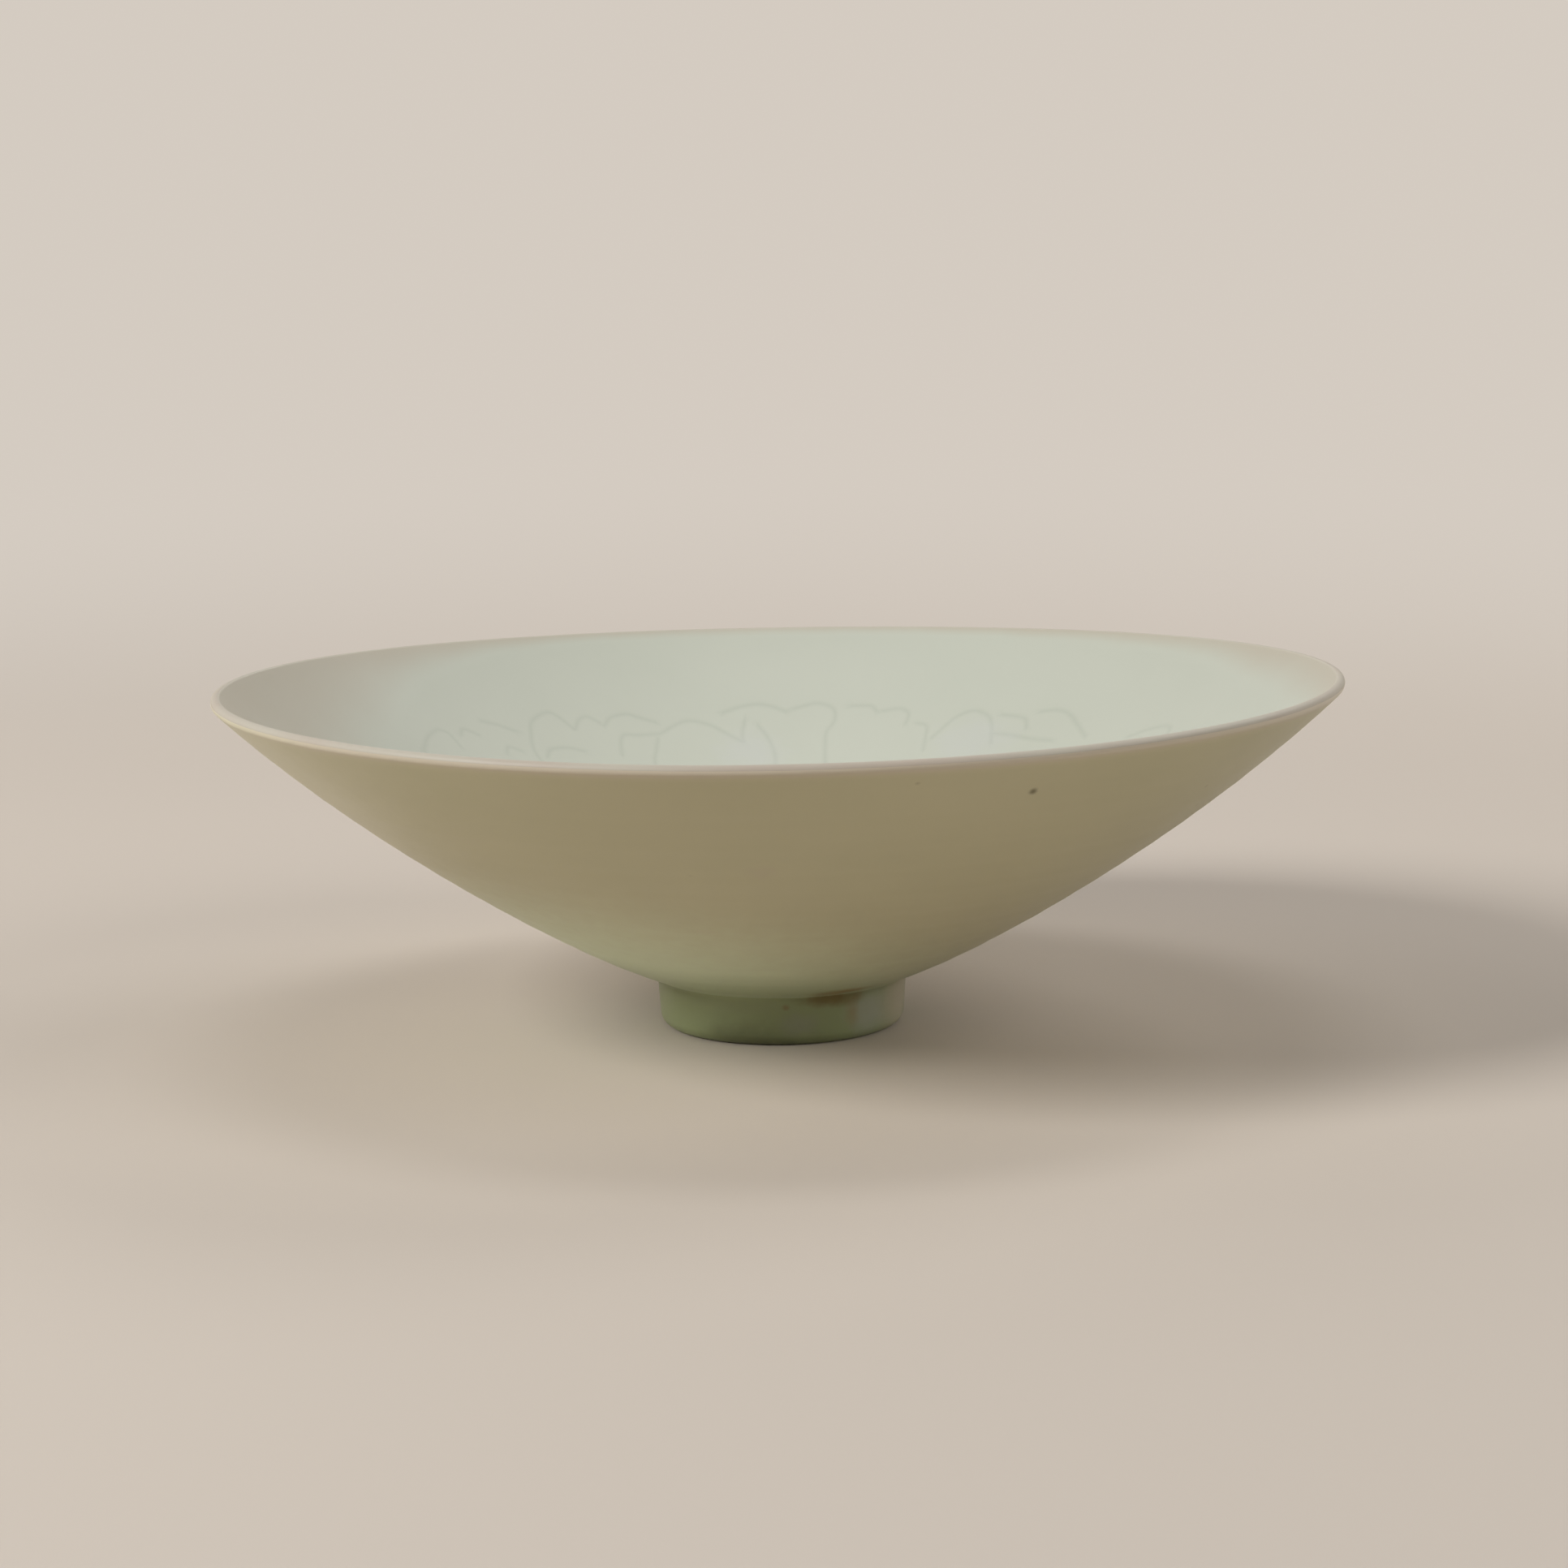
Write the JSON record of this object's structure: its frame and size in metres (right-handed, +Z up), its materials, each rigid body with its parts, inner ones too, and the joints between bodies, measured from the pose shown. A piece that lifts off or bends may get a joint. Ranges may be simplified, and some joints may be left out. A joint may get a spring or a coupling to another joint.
{
  "type": "bowl",
  "caption": "Shallow flaring celadon bowl on a small foot ring, thin thrown wall, pale green glaze inside and out, bare lip; holds food or tea, or stands for show.",
  "frame": {"origin": "on the bowl's axis, on the plane that the foot stands on", "axes": "+Z up along the axis that the bowl was turned on; the pictured side faces -Y"},
  "size_m": [0.18, 0.18, 0.0571],
  "materials": {
    "porcelain": "bare fired clay, pale with a pink cast",
    "inside_glaze": "glossy pale blue-green glaze over a carved flower scroll",
    "outside_glaze": "glossy pale grey-green glaze with faint throwing rings",
    "foot_glaze": "thicker, deeper green glaze with iron stains"
  },
  "bodies": {
    "root": {"porcelain_body": "porcelain", "foot_ring": "porcelain", "inside_glaze": "inside_glaze", "outside_glaze": "outside_glaze", "foot_glaze": "foot_glaze", "base_glaze": "foot_glaze"}
  },
  "joints": []
}
